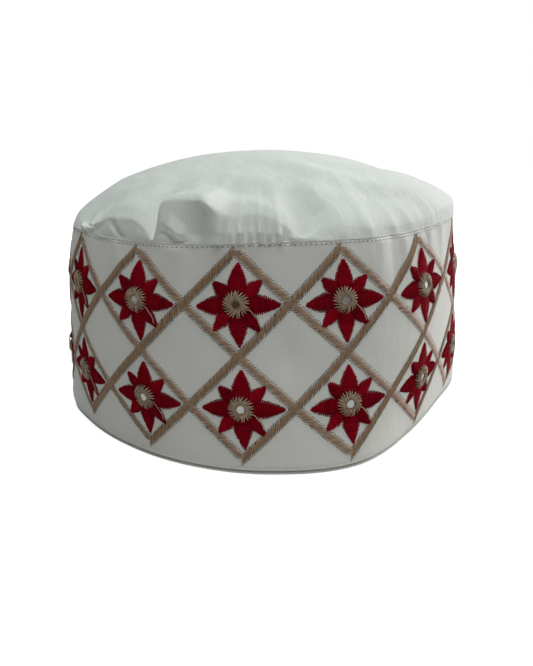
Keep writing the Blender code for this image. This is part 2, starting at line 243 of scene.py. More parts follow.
# Sewing and embroidery, in millimetres and degrees
SEAM_STITCHES = 294
TOPSTITCH_DROP = 0.9
TOPSTITCH_SHARE = 0.28
TOPSTITCH_HOLE = (0.42, 0.22)
TOPSTITCH_HOLE_LIFT = 0.08
SEAM_EDGE_RISE = 0.18
SEAM_EDGE_OUT = 0.16
SEAM_EDGE_UP = 0.36
SEAM_EDGE_LEAN = 0.1
SEAM_EDGE_IN = 0.05
SEAM_EDGE_STEPS = 6
SEAM_EDGE_ROUND = 84.0
BAND_ROUND = 88.0
EDGE_ROUND = 0.12
EDGE_ROWS = 0.7
STITCH_HOLE_PITCH = 1.08
HOLE_WANDER = 0.12
HOLE_OUT = 0.3
NEEDLE_HOLE_SIZE = (0.33, 0.23)
TRELLIS_HALF = (0.20, 0.25)
TRELLIS_END = 1.6
TOP_CORNER_SAG = 0.7
SATIN_PITCH = 0.37
SATIN_HALF = (0.26, 0.31)
SATIN_HEIGHT = 0.2
SATIN_RAGGED = (-0.16, 0.12)
SHADE_SPREAD = 0.35
THIN_SHARE = 0.05
THIN_THREAD = (0.12, 0.08)
# Painted glint on the petals: the red is lighter or darker by how each petal's stitches lie to the light,
# strongest at this angle.
PAINTED_GLINT_ANGLE = 245.0
PAINTED_GLINT = 0.45
PETAL_BASE = 4.3
PADDING_BASE = 2.6
PADDING_SHARE = 0.87
PADDING_SHORT = 0.5
PADDING_LIFT = -0.03
PADDING_HEIGHT = 0.34
RING_RADIUS = 4.95
RING_HOLE = 1.65
RING_TEETH = 24
RING_SWIRL = 24.0
RING_LIFT = 0.55
RING_CLIMB = 0.8
SPECKS_A_LINE = 6
PIT_PROUD = 0.06
PIT_DEPTH = 0.12
BROWNED = ("mirror_upper_03", "mirror_upper_08", "mirror_lower_06", "mirror_lower_12")

# A trellis line: its width, how far each stitch runs along it, how proud it lies, how far above its corner
# it starts and its random draw
Line = namedtuple("Line", "width slant lift early seed")
RIGHT_LEANING = Line(2.85, 3.7, 0.12, -0.8, 3)
LEFT_LEANING = Line(3.05, 3.05, 0.0, 0.2, 5)

# Petals: where each points (0 is right, 90 up), how far its tip reaches from the middle, and its widths
Petal = namedtuple("Petal", "angle reach base widest tip belly taper")
PETALS = (
    (357, 16.4, 5.4, 7.1, 0.8, 0.34, 1.4),
    (86.8, 14.5, 5.4, 7.3, 0.6, 0.32, 1.4),
    (182.5, 14.8, 5.4, 7.1, 0.8, 0.34, 1.4),
    (272.5, 15.5, 5.4, 7.3, 0.6, 0.32, 1.3),
    (38.5, 12.5, 2.3, 5.2, 1.2, 0.48, 1.1),
    (134, 11.5, 2.3, 5.2, 1.2, 0.48, 1.1),
    (225, 12.9, 2.3, 5.2, 1.0, 0.46, 1.1),
    (311.5, 13.2, 2.3, 5.2, 1.0, 0.46, 1.1),
)

# Long threads laid over the ring: where each starts and ends, as reach and angle about the ring's middle
Polar = namedtuple("Polar", "reach angle")
LONG_THREADS = (
    (Polar(4.6, 95), Polar(4.6, -23)),
    (Polar(4.5, 102), Polar(4.5, -31)),
    (Polar(2.2, 30), Polar(4.4, -44)),
    (Polar(4.5, 141), Polar(2.1, 233)),
)
TAIL_START = Polar(4.6, -23)
TAIL_END = Polar(11.7, -45)
TAIL_LIFT = 0.72

# The threads round the glass: radius and lift of each turn
RIM_TURNS = ((1.6, 1.2), (1.8, 1.3), (2.0, 1.32))

# Camera and lights
PHOTO_HEIGHT = 666
CAMERA_FOCAL_PIXELS = 575.6
CAMERA_SENSOR = 36.0
CAMERA_PLACE = (0.0, -0.2748, 0.1164)
CAMERA_PITCH = 18.64
CAMERA_YAW = 0.16
CAMERA_ROLL = -2.04
FLOOR_RADIUS = 1.6
FLOOR_GLOW = (0.12, 0.4, 0.72, 1.0)
ROOM_LIGHT = 0.06
Lamp = namedtuple("Lamp", "name azimuth elevation distance size power colour")
LAMPS = (
    ("skylight", 20, 82, 1.2, 0.6, 9.8, (0.91, 1.0, 0.985)),
    ("side window", 114, 15, 1.2, 0.6, 8.5, (0.97, 0.985, 1.0)),
)

# Shape of dents and folds, and the step that spreads the threads' shades
ROUNDNESS = 2.0
FOLD_END_LIFT = 0.35
FOLD_END_SHARE = 0.25
SLOPE_STEP = 0.02
GOLDEN_STEP = 0.6180339887

SECTION = Section(*np.array(SECTIONS, float).T)
CREST = Crest(*np.array(CRESTS, float).T)


def around(column, azimuth, table=None):
    """A section value at any azimuth, on a smooth closed curve through the table's rows."""
    table = SECTION if table is None else table
    stations = table.azimuth
    values = getattr(table, column)
    at = np.concatenate((stations[-2:] - 360.0, stations, stations[:2] + 360.0))
    value = np.concatenate((values[-2:], values, values[:2]))
    slope = np.zeros_like(value)
    slope[1:-1] = (value[2:] - value[:-2]) / (at[2:] - at[:-2])
    turned = (np.asarray(azimuth, float) + 180.0) % 360.0 - 180.0
    left = np.clip(np.searchsorted(at, turned, side="right") - 1, 1, len(at) - 3)
    step = at[left + 1] - at[left]
    share = (turned - at[left]) / step
    rest = 1.0 - share
    curve = value[left] * (1 + 2 * share) * rest ** 2 + value[left + 1] * share ** 2 * (3 - 2 * share)
    return curve + step * (slope[left] * share * rest ** 2 - slope[left + 1] * share ** 2 * rest)


def smooth(share):
    """0 to 1 with level ends."""
    share = np.clip(share, 0.0, 1.0)
    return share * share * (3.0 - 2.0 * share)


def on_cap(azimuth, radius, height):
    """Points in millimetres from azimuth, radius and height."""
    turn = np.radians(azimuth)
    return np.stack((radius * np.sin(turn), -radius * np.cos(turn), height), axis=-1)


def gathered(azimuth, ribs, away, share=1.0):
    """How far the gathers stand out at an azimuth and a distance from the seam in their own measure."""
    total = np.zeros(np.broadcast(azimuth, away).shape)
    for rib in map(Rib._make, ribs):
        turned = (azimuth - rib.azimuth + 180.0) % 360.0 - 180.0
        wide = np.where(turned < 0, rib.left, rib.right)
        total += rib.lift * smooth(1.0 - np.abs(turned) / wide) * np.exp(-(away / rib.reach) ** 1.6)
    unseen = azimuth % 360.0
    inside = smooth((unseen - HIDDEN_START) / 6.0) * smooth((HIDDEN_END - unseen) / 6.0)
    wave = unseen * 2 * np.pi / HIDDEN_PITCH
    shape = np.sin(wave + 1.3 * np.sin(wave * 0.23)) * (0.7 + 0.3 * np.sin(wave * 0.37))
    reach = share * (1.0 + 0.35 * np.sin(wave * 0.47))
    return total + inside * HIDDEN_LIFT * shape * np.exp(-(away / reach) ** 1.6)


def dented(azimuth, radius, height):
    """How far the band's soft dents and swells move the cloth out at each azimuth and height."""
    total = 0.0 * radius
    for dent in map(Dent._make, DENTS):
        turned = (azimuth - dent.azimuth + 180.0) % 360.0 - 180.0
        sideways = np.radians(turned) * radius / dent.across
        upwards = (height - dent.height) / dent.up
        total = total + dent.depth * np.exp(-ROUNDNESS * (sideways ** 2 + upwards ** 2))
    return total


def band_radius(azimuth, height):
    """Outer radius of the band, from its rim, waist and seam radii, its dents and its gathers."""
    azimuth, height = np.broadcast_arrays(np.asarray(azimuth, float), np.asarray(height, float))
    seam_height = around("seam_height", azimuth)
    share = height / seam_height
    radius = around("rim", azimuth) * (1 - share) * (1 - 2 * share)
    radius = radius + around("waist", azimuth) * 4 * share * (1 - share)
    radius = radius + around("seam", azimuth) * share * (2 * share - 1)
    radius = radius + dented(azimuth, radius, height)
    drop = np.clip(seam_height - height, 0.0, None)
    return radius + gathered(azimuth, BAND_RIBS, drop, 9.0) * smooth((drop + 0.9) / 3.0)


def crown_section(azimuth, share):
    """Radius and height of the crown without folds: up from the seam to the crest, then in to the top."""
    seam = around("seam", azimuth)
    foot = around("seam_height", azimuth) + SEAM_GAP
    seam = seam + dented(azimuth, seam, foot)
    rise = around("crest_height", azimuth)
    inset = around("crest_in", azimuth)
    fall = around("fall", azimuth)
    soft = around("softness", azimuth, CREST)
    up = around("up", azimuth, CREST)
    out = around("out", azimuth, CREST)
    shoulder = around("shoulder", azimuth, CREST)

    def plain(at):
        low = np.clip(at / CREST_SHARE, 0.0, 1.0)
        left = 1.0 - np.clip((at - CREST_SHARE) / (1.0 - CREST_SHARE), 0.0, 1.0)
        wall = seam - (inset - out) * low + CREST_BULGE * 4 * low * (1 - low)
        below = at < CREST_SHARE
        near = np.exp(-((at - CREST_SHARE) / CREST_BLEND) ** 2)
        wide = np.exp(-((at - CREST_SHARE) / SHOULDER_BLEND) ** 2)
        radius = np.where(below, wall, (seam - inset) * left + out * near)
        over = CAP_TOP - (CAP_TOP - foot - rise) * left ** fall + (up - shoulder) * near + shoulder * wide
        height = np.where(below, foot + (rise + up) * low, over)
        return radius, height

    radius, height = plain(share)
    low_radius, low_height = plain(CREST_SHARE - soft)
    high_radius, high_height = plain(CREST_SHARE + soft)
    turn = np.clip((share - CREST_SHARE + soft) / (2 * soft), 0.0, 1.0)
    near = np.abs(share - CREST_SHARE) < soft
    start, middle, end = (1 - turn) ** 2, 2 * turn * (1 - turn), turn ** 2
    rounded_radius = start * low_radius + middle * (seam - inset + out) + end * high_radius
    rounded_height = start * low_height + middle * (foot + rise + up) + end * high_height
    return np.where(near, rounded_radius, radius), np.where(near, rounded_height, height)


def laid_flat(azimuth, share):
    """The crown unrolled on a plane: its top at the middle and its slope laid out along each azimuth."""
    low = np.minimum(share / CREST_SHARE, 1.0)
    left = 1.0 - np.clip((share - CREST_SHARE) / (1.0 - CREST_SHARE), 0.0, 1.0)
    reach = (around("seam", azimuth) - around("crest_in", azimuth)) * left
    reach = reach + around("crest_height", azimuth) * (1 - low)
    turn = np.radians(azimuth)
    return np.stack((reach * np.sin(turn), -reach * np.cos(turn)), axis=-1)


def fold_lift(azimuth, share):
    """How far the folds and gathers stand out of the crown at each point."""
    flat = laid_flat(azimuth, share)
    total = np.zeros(flat.shape[:-1])
    for fold in map(Fold._make, FOLDS):
        stop_azimuth, stop_share = np.array(fold.stops, float).T
        line = laid_flat(stop_azimuth, stop_share)
        nearest = np.full(total.shape, np.inf)
        outward = np.zeros(total.shape)
        along = np.zeros(total.shape)
        for index, (start, end) in enumerate(zip(line[:-1], line[1:])):
            run = end - start
            share_along = np.clip(((flat - start) @ run) / (run @ run), 0.0, 1.0)
            away = flat - (start + share_along[..., None] * run)
            distance = np.hypot(away[..., 0], away[..., 1])
            closer = distance < nearest
            nearest = np.where(closer, distance, nearest)
            outward = np.where(closer, run[1] * away[..., 0] - run[0] * away[..., 1], outward)
            along = np.where(closer, (index + share_along) / (len(line) - 1), along)
        width = np.where(outward > 0, fold.width_down, fold.width_up)
        off = np.clip(nearest / width, 0.0, 1.0)
        roll = (1 - off) ** 2 * (1 + 2 * off)
        crease = (1 - off) ** 2
        taper = FOLD_END_LIFT + (1 - FOLD_END_LIFT) * smooth(np.minimum(along, 1 - along) / FOLD_END_SHARE)
        total = total + fold.lift * taper * (fold.crisp * crease + (1 - fold.crisp) * roll)
    held = GATHER_FOOT + (1 - GATHER_FOOT) * smooth(share / GATHER_START)
    return total * smooth(share / FOLD_START) + gathered(azimuth, CROWN_RIBS, share, 0.15) * held


def crown_surface(azimuth, share, inset=0.0):
    """Points of the crown's surface, folds included, set in by a wall's thickness for its inner side."""
    azimuth, share = np.broadcast_arrays(np.asarray(azimuth, float), np.asarray(share, float))
    radius, height = crown_section(azimuth, share)
    high_radius, high_height = crown_section(azimuth, np.minimum(share + SLOPE_STEP, 1.0))
    low_radius, low_height = crown_section(azimuth, np.maximum(share - SLOPE_STEP, 0.0))
    along_radius, along_height = high_radius - low_radius, high_height - low_height
    length = np.maximum(np.hypot(along_radius, along_height), 1e-6)
    lift = fold_lift(azimuth, share) - inset
    return on_cap(azimuth, radius + lift * along_height / length, height - lift * along_radius / length)


def columns_round(front, back):
    """Azimuths of a grid's columns: close over the front, wider apart behind."""
    ahead = np.linspace(-FRONT_HALF_WIDTH, FRONT_HALF_WIDTH, front, endpoint=False)
    behind = np.linspace(FRONT_HALF_WIDTH, 360.0 - FRONT_HALF_WIDTH, back, endpoint=False)
    return np.concatenate((ahead, behind))


CENTRE = np.array((0.91, -1.86, 0.0))


def to_metres(points):
    """Millimetres about the cap's own axis to metres in the frame."""
    return (np.asarray(points) - CENTRE) * MM


def band_place(azimuth, height):
    """Points on the band's cloth and the direction out of it there."""
    azimuth, height = np.broadcast_arrays(np.asarray(azimuth, float), np.asarray(height, float))
    reach = 0.4

    def cloth(turned, raised):
        return on_cap(turned, band_radius(turned, raised), raised)

    sideways = cloth(azimuth + reach, height) - cloth(azimuth - reach, height)
    upwards = cloth(azimuth, height + reach) - cloth(azimuth, height - reach)
    out = np.cross(sideways, upwards)
    return cloth(azimuth, height), out / np.linalg.norm(out, axis=-1, keepdims=True)


def drawn_in(azimuth, drop):
    """Azimuth and height of a place of the embroidery: a straight strip draws in where the band widens."""
    down = (drop - ROW_DROP - ROW_PITCH) / (2 * ROW_PITCH)
    aside = np.sin(np.radians(azimuth - STILL_AZIMUTH))
    azimuth = azimuth - ROW_TURN * np.abs(down) * aside
    return azimuth, around("seam_height", azimuth) - drop + ROW_LIFT * np.maximum(down, 0.0) * aside ** 2


def pattern_place(across, drop):
    """Places of the embroidery: across in millimetres from the first column, drop down from the seam."""
    azimuth = FIRST_COLUMN + np.asarray(across, float) / COLUMN_WIDTH * COLUMN_TURN
    return band_place(*drawn_in(azimuth, np.asarray(drop, float)))


# Meshes

def make_object(name, points, faces, finish, smooth_shaded=True, uv=None):
    """An object from points in metres and faces, with one UV place for each point where given."""
    mesh = bpy.data.meshes.new(name)
    mesh.from_pydata([tuple(p) for p in points], [], faces)
    if uv is not None:
        layer = mesh.uv_layers.new(name="cloth")
        corner_points = np.empty(len(mesh.loops), dtype=np.int32)
        mesh.loops.foreach_get("vertex_index", corner_points)
        layer.data.foreach_set("uv", np.asarray(uv, np.float32)[corner_points].ravel())
    if smooth_shaded:
        mesh.shade_smooth()
    mesh.materials.append(finish)
    mesh.update()
    piece = bpy.data.objects.new(name, mesh)
    bpy.context.scene.collection.objects.link(piece)
    return piece


def ring_faces(rings, columns, first=0, closed=False):
    """Quads of a grid closed round its columns and, where asked, from its last ring back to its first."""
    row, column = np.meshgrid(np.arange(rings if closed else rings - 1), np.arange(columns), indexing="ij")
    beside = (column + 1) % columns
    lower, upper = first + row * columns, first + (row + 1) % rings * columns
    corners = (lower + column, lower + beside, upper + beside, upper + column)
    return np.stack(corners, axis=-1).reshape(-1, 4).tolist()


def per_stop(value, count, stops):
    """One size, one for each thread, or one for each stop of each thread, as a full table."""
    value = np.asarray(value, float)
    return np.broadcast_to(value[:, None] if value.ndim == 1 else value, (count, stops))


def strands(name, paths, outs, half_width, height, finish, ends=0.55, shades=None):
    """Many threads as one mesh: each is a low ridge along its path, pinched at both ends."""
    count, stops = paths.shape[:2]
    ahead = np.empty_like(paths)
    ahead[:, 1:-1] = paths[:, 2:] - paths[:, :-2]
    ahead[:, 0] = paths[:, 1] - paths[:, 0]
    ahead[:, -1] = paths[:, -1] - paths[:, -2]
    side = np.cross(ahead, outs)
    side = side / np.maximum(np.linalg.norm(side, axis=-1, keepdims=True), 1e-9)
    pinch = np.ones(stops)
    pinch[0] = pinch[-1] = ends
    aside = side * (per_stop(half_width, count, stops) * pinch)[..., None]
    crest = paths + outs * (per_stop(height, count, stops) * pinch)[..., None]
    points = to_metres(np.stack((paths - aside, crest, paths + aside), axis=2)).reshape(-1, 3)
    base = (np.arange(count) * stops * 3)[:, None, None]
    step = base + (np.arange(stops - 1) * 3)[None, :, None]
    near, far = np.array(((1, 2, 0), (0, 1, 2)))
    quads = np.stack((step + far, step + near, step + 3 + near, step + 3 + far), axis=-1)
    start = (base[:, 0] + np.array((0, 1, 2))).tolist()
    end = (base[:, 0] + (stops - 1) * 3 + np.array((2, 1, 0))).tolist()
    along = np.linalg.norm(np.diff(paths, axis=1), axis=-1).cumsum(axis=1)
    along = np.concatenate((np.zeros((count, 1)), along), axis=1)
    across = np.array((0.0, 0.5, 1.0))
    uv = np.stack(np.broadcast_arrays(along[..., None], across), axis=-1).reshape(-1, 2)
    piece = make_object(name, points, quads.reshape(-1, 4).tolist() + start + end, finish, uv=uv)
    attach(piece, "root")
    shade = piece.data.attributes.new("thread_shade", "FLOAT", "POINT")
    # Tone of each strand: spread at random, or given; for the petals it includes a painted glint.
    each = (np.arange(count) * GOLDEN_STEP) % 1.0 if shades is None else shades
    shade.data.foreach_set("value", np.repeat(each, stops * 3).astype(np.float32))


def pointing(angle):
    """Across and drop of a step along an angle in radians: 0 is to the right, a quarter turn is up."""
    return np.stack((np.cos(angle), -np.sin(angle)), axis=-1)


def lay_threads(name, flat, lift, half_width, height, finish, place=None, **sewing):
    """Threads on the band along paths of the embroidery's across and drop, or of another place's pairs."""
    flat = np.array(flat)
    here, out = (place or pattern_place)(flat[..., 0], flat[..., 1])
    strands(name, here + out * np.asarray(lift)[..., None], out, half_width, height, finish, **sewing)


def pits(name, places, outs, along, size, finish):
    """Painted shade of many small needle holes as one mesh: flat dark lenses that sit in the cloth."""
    along = along - outs * np.sum(along * outs, axis=-1, keepdims=True)
    along = along / np.linalg.norm(along, axis=-1, keepdims=True)
    long, wide = along * size[0], np.cross(outs, along) * size[1]
    corners = (long, wide, -long, -wide, outs * PIT_PROUD, -outs * PIT_DEPTH)
    points = to_metres(np.stack([places + corner for corner in corners], axis=1)).reshape(-1, 3)
    fan = [(a, (a + 1) % 4, 4) for a in range(4)] + [((a + 1) % 4, a, 5) for a in range(4)]
    faces = (np.arange(len(places))[:, None, None] * 6 + np.array(fan)).reshape(-1, 3).tolist()
    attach(make_object(name, points, faces, finish, smooth_shaded=False), "root")


# Finishes

def new_group(name, inputs, outputs):
    """A shader node group with its sockets and its two end nodes."""
    group = bpy.data.node_groups.new(name, "ShaderNodeTree")
    for socket, value in inputs:
        made = group.interface.new_socket(socket, in_out="INPUT", socket_type="NodeSocketFloat")
        made.default_value = value
    for socket in outputs:
        group.interface.new_socket(socket, in_out="OUTPUT", socket_type="NodeSocketFloat")
    return group, group.nodes.new("NodeGroupInput"), group.nodes.new("NodeGroupOutput")


def number(tree, operation, first, second=0.0):
    """A math node between two sockets or numbers, and its result."""
    node = tree.nodes.new("ShaderNodeMath")
    node.operation = operation
    for socket, value in zip(node.inputs, (first, second)):
        if isinstance(value, (int, float)):
            socket.default_value = value
        else:
            tree.links.new(value, socket)
    return node.outputs[0]


def speckle(tree, place, scale, stretch=(1.0, 1.0, 1.0), detail=2.0):
    """Noise over a stretched place, and its value."""
    mapping = tree.nodes.new("ShaderNodeMapping")
    mapping.inputs["Scale"].default_value = stretch
    tree.links.new(place, mapping.inputs["Vector"])
    noise = tree.nodes.new("ShaderNodeTexNoise")
    noise.inputs["Scale"].default_value = scale
    noise.inputs["Detail"].default_value = detail
    tree.links.new(mapping.outputs["Vector"], noise.inputs["Vector"])
    return noise.outputs["Fac"]


def cloth_map(tree):
    """The piece's own cloth map, in millimetres, and its two directions."""
    node = tree.nodes.new("ShaderNodeUVMap")
    node.uv_map = "cloth"
    parts = tree.nodes.new("ShaderNodeSeparateXYZ")
    tree.links.new(node.outputs["UV"], parts.inputs[0])
    return node.outputs["UV"], parts.outputs["X"], parts.outputs["Y"]


def own_place(tree):
    """The place of a point on its own piece."""
    return tree.nodes.new("ShaderNodeTexCoord").outputs["Object"]


def build_cotton_weave():
    """Plain cotton weave with slubs, faint creases and a little unevenness of its white."""
    group, given, result = new_group(
        "cotton weave", (("Thread Pitch", 0.36), ("Slub", 0.5), ("Crease", 0.5)), ("Height", "Tone"))
    times, plus = partial(number, group, "MULTIPLY"), partial(number, group, "ADD")
    place, along, up = cloth_map(group)
    turns = number(group, "DIVIDE", 2 * math.pi, given.outputs["Thread Pitch"])
    warp = number(group, "SINE", times(along, turns))
    weft = number(group, "SINE", times(up, turns))
    slub_up = speckle(group, place, 1.0, (2.4, 0.22, 1.0))
    slub_along = speckle(group, place, 1.0, (0.22, 2.4, 1.0))
    slubs = times(plus(slub_up, slub_along), given.outputs["Slub"])
    crease = speckle(group, place, 0.11, (1.0, 0.55, 1.0), 4.0)
    creases = times(times(crease, given.outputs["Crease"]), 9.0)
    weave = times(times(warp, weft), 0.125)
    group.links.new(plus(plus(weave, slubs), creases), result.inputs["Height"])
    patch = speckle(group, place, 0.035, detail=3.0)
    group.links.new(plus(times(slubs, 0.45), times(patch, 0.6)), result.inputs["Tone"])
    return group


def build_thread_twist():
    """Two-ply twist along an embroidery thread, with its own shade for every strand; the grooves between
    the plies are painted darker, a painted shade.
    """
    group, given, result = new_group(
        "thread twist", (("Twist Pitch", 0.7), ("Shade Spread", 0.5)), ("Height", "Tone"))
    times, plus = partial(number, group, "MULTIPLY"), partial(number, group, "ADD")
    _, along, across = cloth_map(group)
    turns = times(number(group, "DIVIDE", along, given.outputs["Twist Pitch"]), 2 * math.pi)
    ply = number(group, "ABSOLUTE", number(group, "SINE", plus(turns, times(across, 2.6))))
    group.links.new(ply, result.inputs["Height"])
    shade = group.nodes.new("ShaderNodeAttribute")
    shade.attribute_name = "thread_shade"
    spread = times(number(group, "SUBTRACT", shade.outputs["Fac"], 0.5), given.outputs["Shade Spread"])
    # Painted shade: the tone drops in the grooves between the plies.
    group.links.new(plus(plus(spread, times(ply, 0.25)), 0.4), result.inputs["Tone"])
    return group


def new_finish(name, roughness, metallic=0.0, sheen=0.0, gloss=0.5):
    """A material with its Principled shader."""
    finish = bpy.data.materials.new(name)
    finish.use_nodes = True
    surface = finish.node_tree.nodes["Principled BSDF"]
    surface.inputs["Roughness"].default_value = roughness
    surface.inputs["Metallic"].default_value = metallic
    surface.inputs["Specular IOR Level"].default_value = gloss
    surface.inputs["Sheen Weight"].default_value = sheen
    surface.inputs["Sheen Roughness"].default_value = 0.5
    return finish, finish.node_tree, surface


def place_group(tree, group, values):
    """A group node with its own values."""
    node = tree.nodes.new("ShaderNodeGroup")
    node.node_tree = group
    for socket, value in values.items():
        node.inputs[socket].default_value = value
    return node


def tint(tree, surface, factor, low, high):
    """The base colour runs from low to high with a factor."""
    ramp = tree.nodes.new("ShaderNodeMix")
    ramp.data_type = "RGBA"
    tree.links.new(factor, ramp.inputs["Factor"])
    ramp.inputs["A"].default_value = (*low, 1.0)
    ramp.inputs["B"].default_value = (*high, 1.0)
    tree.links.new(ramp.outputs["Result"], surface.inputs["Base Color"])


def roughen(tree, surface, height, distance):
    """Bump from a height, in metres."""
    bump = tree.nodes.new("ShaderNodeBump")
    bump.inputs["Distance"].default_value = distance
    tree.links.new(height, bump.inputs["Height"])
    tree.links.new(bump.outputs["Normal"], surface.inputs["Normal"])


def cotton(name, low, high, slub, crease):
    """White cotton cloth."""
    finish, tree, surface = new_finish(name, 0.92, sheen=0.12)
    weave = place_group(tree, COTTON_WEAVE, {"Slub": slub, "Crease": crease})
    tint(tree, surface, weave.outputs["Tone"], low, high)
    roughen(tree, surface, weave.outputs["Height"], 0.08 * MM)
    return finish


def embroidery_thread(name, low, high, roughness, spread, sheen, gloss):
    """Lustrous embroidery thread."""
    finish, tree, surface = new_finish(name, roughness, sheen=sheen, gloss=gloss)
    twist = place_group(tree, THREAD_TWIST, {"Shade Spread": spread})
    tint(tree, surface, twist.outputs["Tone"], low, high)
    roughen(tree, surface, twist.outputs["Height"], 0.05 * MM)
    return finish


def mirror_finish(name, low, high, roughness):
    """Old mirror glass: clouded in patches."""
    finish, tree, surface = new_finish(name, roughness, metallic=0.85)
    cloud = speckle(tree, own_place(tree), 420.0, detail=3.0)
    tint(tree, surface, cloud, low, high)
    roughen(tree, surface, cloud, 0.05 * MM)
    return finish


def painted_hole_shade(name, low, high):
    """Painted shade of a needle hole."""
    finish, tree, surface = new_finish(name, 1.0)
    tint(tree, surface, speckle(tree, own_place(tree), 900.0), low, high)
    return finish


COTTON_WEAVE = build_cotton_weave()
THREAD_TWIST = build_thread_twist()
CROWN_CLOTH = cotton("crown cotton cloth", (0.745, 0.74, 0.70), (0.845, 0.835, 0.795), 0.9, 1.3)
BAND_CLOTH = cotton("band cotton cloth", (0.745, 0.706, 0.668), (0.85, 0.805, 0.762), 0.9, 0.8)
HEM_CLOTH = cotton("hem cotton cloth", (0.73, 0.705, 0.665), (0.825, 0.795, 0.755), 0.6, 0.4)
TAN_THREAD = embroidery_thread(
    "tan thread", (0.26, 0.146, 0.079), (0.525, 0.335, 0.208), 0.5, 0.5, 0.1, 0.3)
# Thread of the left-leaning lines: its lower roughness and stronger gloss are real, its lighter colour is a
# painted glint.
GLOSSY_TAN_PAINTED_GLINT = embroidery_thread(
    "glossy tan thread with painted glint", (0.40, 0.246, 0.152), (0.82, 0.56, 0.395), 0.36, 0.6, 0.2, 0.6)
RING_THREAD = embroidery_thread(
    "ring thread", (0.25, 0.147, 0.085), (0.67, 0.475, 0.33), 0.45, 0.9, 0.1, 0.4)
LIGHT_TAN = embroidery_thread(
    "light tan thread", (0.38, 0.275, 0.18), (0.62, 0.485, 0.35), 0.45, 0.5, 0.1, 0.3)
# The red runs wide from dark to light to carry the petals' painted glint as well as their own uneven tone.
RED_THREAD = embroidery_thread(
    "crimson thread", (0.15, 0.001, 0.005), (0.41, 0.004, 0.017), 0.6, 0.6, 0.0, 0.02)
WHITE_THREAD = embroidery_thread(
    "white sewing thread", (0.66, 0.67, 0.64), (0.86, 0.87, 0.84), 0.7, 0.4, 0.1, 0.3)
CLOUDED_MIRROR = mirror_finish("clouded mirror", (0.50, 0.50, 0.49), (0.78, 0.78, 0.76), 0.22)
BROWNED_MIRROR = mirror_finish("browned mirror", (0.12, 0.07, 0.05), (0.22, 0.14, 0.10), 0.30)
# Painted shade for the needle holes of the trellis lines.
NEEDLE_HOLE_PAINTED_SHADE = painted_hole_shade("painted needle hole shade", (0.012, 0.010, 0.008), (0.07, 0.06, 0.05))
# Painted shade for the needle holes of the topstitch.
TOPSTITCH_HOLE_PAINTED_SHADE = painted_hole_shade("painted topstitch hole shade", (0.18, 0.18, 0.165), (0.34, 0.34, 0.315))


# The cloth

def make_crown():
    """The soft top with its folds and gathers, closed by its inner side."""
    azimuth = columns_round(*GRID_COLUMNS)
    rows = np.linspace(0.0, 1.0, CROWN_ROWS, endpoint=False) ** CROWN_ROW_POWER
    inner_rows = np.linspace(0.0, 1.0, CROWN_INNER_ROWS, endpoint=False)[::-1]
    outer = [crown_surface(azimuth, share) for share in rows]
    inner = [crown_surface(azimuth, share, CROWN_WALL) for share in inner_rows]
    flat = [laid_flat(azimuth, share) for share in (*rows, *inner_rows)]
    count = len(azimuth)
    top = np.array(((0.0, 0.0, CAP_TOP), (0.0, 0.0, CAP_TOP - CROWN_WALL)))
    points = np.concatenate((*outer, *inner, top))
    uv = np.concatenate((*flat, np.zeros((2, 2))))
    outer_end = (len(rows) - 1) * count
    inner_start = len(rows) * count
    inner_end = inner_start + (len(inner_rows) - 1) * count
    peak, inner_peak = len(points) - 2, len(points) - 1
    faces = ring_faces(len(rows), count)
    faces += ring_faces(len(inner_rows), count, first=inner_start)
    for column in range(count):
        beside = (column + 1) % count
        faces.append((outer_end + column, outer_end + beside, peak))
        faces.append((inner_start + beside, inner_start + column, inner_peak))
        faces.append((inner_end + column, inner_end + beside, beside, column))
    crown = make_object("crown_cloth", to_metres(points), faces, CROWN_CLOTH, uv=uv)
    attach(crown, "root")
    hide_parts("crown")


def make_band():
    """The upright wall as one closed sheet of cloth, rounded at its folded edges."""
    azimuth = columns_round(*GRID_COLUMNS)
    rise = around("seam_height", azimuth) - BAND_FOOT
    rings = []
    for row in range(BAND_ROWS + 1):
        height = BAND_FOOT + rise * (1.0 - (1.0 - row / BAND_ROWS) ** BAND_ROW_POWER)
        edge = EDGE_ROUND * (math.exp(-row / EDGE_ROWS) + math.exp(-(BAND_ROWS - row) / EDGE_ROWS))
        rings.append((azimuth, band_radius(azimuth, height) - edge, height))
    for row in range(BAND_INNER_ROWS, -1, -1):
        height = BAND_FOOT + rise * row / BAND_INNER_ROWS
        rings.append((azimuth, band_radius(azimuth, height) - BAND_WALL, height))
    cover("band_cloth", rings, BAND_CLOTH, "side_band")


def make_hem():
    """The turned-in lower edge, soft at its fold."""
    azimuth = columns_round(*GRID_COLUMNS)
    foot = band_radius(azimuth, BAND_FOOT)
    low_leg = foot - BAND_WALL - HEM_GAP
    high_leg = band_radius(azimuth, HEM_HEIGHT) - BAND_WALL - HEM_GAP
    half = HEM_FOOT / 2
    sides = [(foot - HEM_SET_BACK + half * (math.cos(turn) - 1.0), half + half * math.sin(turn))
             for turn in np.radians(np.linspace(-90, 90, HEM_FOLD_STEPS))]
    sides += [(low_leg, HEM_FOOT), (high_leg, HEM_HEIGHT), (high_leg - HEM_WALL, HEM_HEIGHT),
              (low_leg - HEM_WALL, HEM_LIFT)]
    rings = [(azimuth, radius, 0 * azimuth + height) for radius, height in sides]
    cover("turned_hem", rings, HEM_CLOTH, "hem_facing")


def round_sheet(name, rings, finish, uv):
    """A sheet closed round the cap, given as rings of azimuth, radius and height."""
    points = np.concatenate([on_cap(*ring) for ring in rings])
    faces = ring_faces(len(rings), len(rings[0][0]), closed=True)
    sheet = make_object(name, to_metres(points), faces, finish, uv=np.concatenate(uv))
    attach(sheet, "root")
    return sheet


